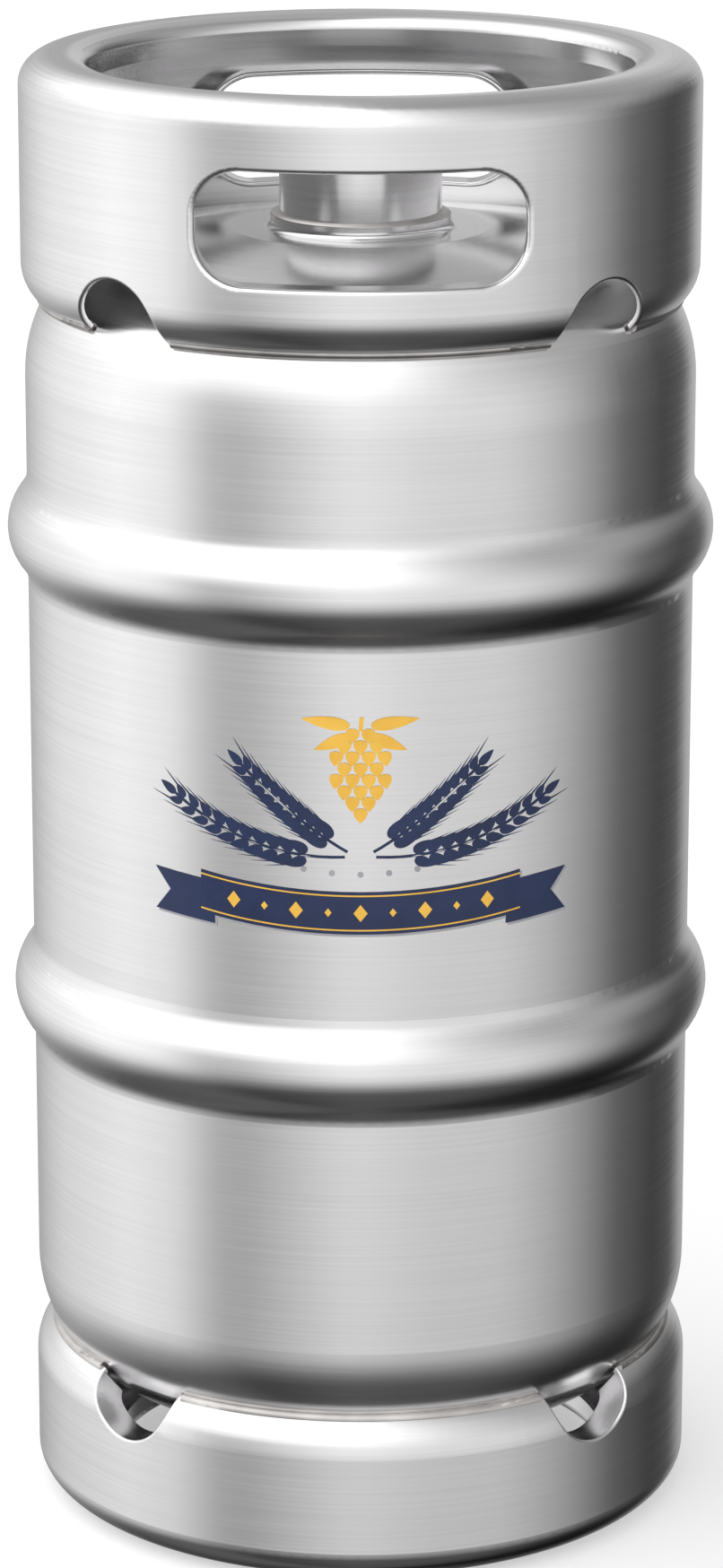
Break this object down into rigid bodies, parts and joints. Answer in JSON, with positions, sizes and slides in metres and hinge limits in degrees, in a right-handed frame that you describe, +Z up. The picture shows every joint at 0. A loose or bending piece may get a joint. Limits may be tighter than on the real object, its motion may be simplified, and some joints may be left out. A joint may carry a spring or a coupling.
{
  "type": "beer keg",
  "caption": "Slim stainless beer keg with two rolling rings, rolled top and foot chimes, hand holes, drain notches, and a neck holding a sprung coupler valve under a dust cap.",
  "frame": {"origin": "on the floor, under the middle of the foot", "axes": "+Z up along the keg's axis; the hand holes face -Y and +Y"},
  "size_m": [0.2828, 0.2826, 0.5937],
  "materials": {
    "shell_steel": "stainless steel, fine circumferential brushing",
    "weld_steel": "brushed weld bead",
    "turned_steel": "turned stainless steel, satin to bright",
    "spring_steel": "drawn stainless spring wire",
    "seal_rubber": "moulded black rubber",
    "bush_plastic": "natural white bearing plastic",
    "cap_plastic": "dark navy moulded plastic"
  },
  "bodies": {
    "root": {"top_chime": "shell_steel", "top_chime_weld": "weld_steel", "top_dome": "shell_steel", "upper_girth_weld": "shell_steel", "body_shell": "shell_steel", "lower_girth_weld": "shell_steel", "bottom_dome": "shell_steel", "bottom_chime_weld": "weld_steel", "bottom_chime": "shell_steel", "neck": "turned_steel", "neck_weld": "weld_steel", "neck_gasket": "seal_rubber", "valve_housing": "turned_steel", "retaining_ring": "turned_steel", "spring_cage": "turned_steel", "tube_guide_bush": "bush_plastic", "main_spring": "spring_steel"},
    "gas_valve": {"valve_seal": "seal_rubber", "seal_core": "turned_steel", "spring_plate": "turned_steel", "ball_cup": "turned_steel", "ball_spring": "spring_steel", "down_tube": "turned_steel", "tube_weld": "weld_steel"},
    "beer_valve": {"beer_ball": "turned_steel"},
    "cap": {"dust_cap": "cap_plastic"}
  },
  "joints": [
    {"name": "gas_valve_slide", "type": "slide", "parent": "root", "child": "gas_valve", "axis": [0, 0, -1], "range_m": [0, 0.008], "stiffness_N_per_m": 3000, "springref_m": -0.015, "deforming": ["main_spring"]},
    {"name": "beer_ball_slide", "type": "slide", "parent": "gas_valve", "child": "beer_valve", "axis": [0, 0, -1], "range_m": [0, 0.0045], "stiffness_N_per_m": 400, "springref_m": -0.006, "deforming": ["ball_spring"]},
    {"name": "cap_lift", "type": "slide", "parent": "root", "child": "cap", "axis": [0, 0, 1], "range_m": [0, 0.08]}
  ]
}
